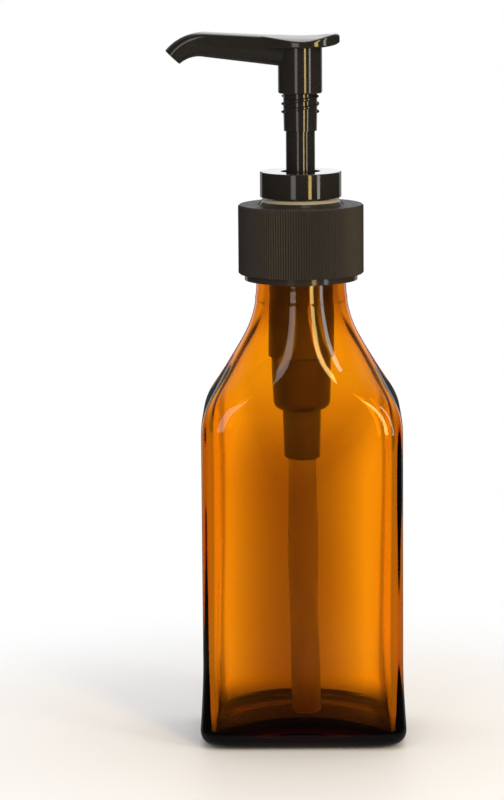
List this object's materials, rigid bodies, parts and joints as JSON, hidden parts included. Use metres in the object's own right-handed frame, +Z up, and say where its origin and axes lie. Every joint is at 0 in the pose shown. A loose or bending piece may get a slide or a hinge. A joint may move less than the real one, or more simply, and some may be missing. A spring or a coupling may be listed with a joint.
{
  "type": "soap pump dispenser",
  "caption": "Amber glass bottle with a rounded rectangular body and sloping shoulders, closed by a black screw-on lotion pump with a saddle head, bent spout and screw lock.",
  "frame": {"origin": "on the pump's axis in the plane of the bottle's bearing face", "axes": "+Z up along the pump's axis, -X the way the spout points at rest, +Y towards the bottle's back"},
  "size_m": [0.0621, 0.0398, 0.1868],
  "materials": {
    "amber_glass": "gloss",
    "black_matte": "fine ribbed matte",
    "black_gloss": "gloss",
    "natural_pp": "translucent",
    "natural_pe": "translucent",
    "seal_rubber": "matte",
    "gasket_pe": "matte",
    "ball_glass": "gloss",
    "spring_steel": "drawn wire"
  },
  "bodies": {
    "bottle": {"bottle": "amber_glass"},
    "pump_body": {"housing": "natural_pp", "lock_ring": "black_gloss", "neck_gasket": "gasket_pe", "stem_seal": "seal_rubber", "dip_tube": "natural_pe", "return_spring": "spring_steel"},
    "closure": {"closure": "black_matte"},
    "plunger": {"valve_pin": "natural_pp"},
    "piston": {"piston": "natural_pe"},
    "head": {"actuator_head": "black_gloss", "stem": "black_gloss"},
    "inlet_ball": {"inlet_ball": "ball_glass"}
  },
  "joints": [
    {"name": "pump_lift", "type": "slide", "parent": "bottle", "child": "pump_body", "axis": [0, 0, 1], "range_m": [0, 0.0064]},
    {"name": "closure_turn", "type": "hinge", "parent": "pump_body", "child": "closure", "pos_m": [0, 0, 0.132], "axis": [0, 0, 1], "range_deg": [0, 540]},
    {"name": "head_press", "type": "slide", "parent": "pump_body", "child": "plunger", "axis": [0, 0, -1], "range_m": [0, 0.014], "stiffness_N_per_m": 250, "springref_m": -0.02, "deforming": ["return_spring"]},
    {"name": "head_turn", "type": "hinge", "parent": "plunger", "child": "head", "pos_m": [0, 0, 0.16], "axis": [0, 0, 1], "continuous": true},
    {"name": "piston_shift", "type": "slide", "parent": "plunger", "child": "piston", "axis": [0, 0, 1], "range_m": [0, 0.001]},
    {"name": "ball_lift", "type": "slide", "parent": "pump_body", "child": "inlet_ball", "axis": [0, 0, 1], "range_m": [0, 0.0012]}
  ],
  "couplings": [
    {"joint": "pump_lift", "follows": "closure_turn", "m_per_rad": 0.00067376}
  ]
}
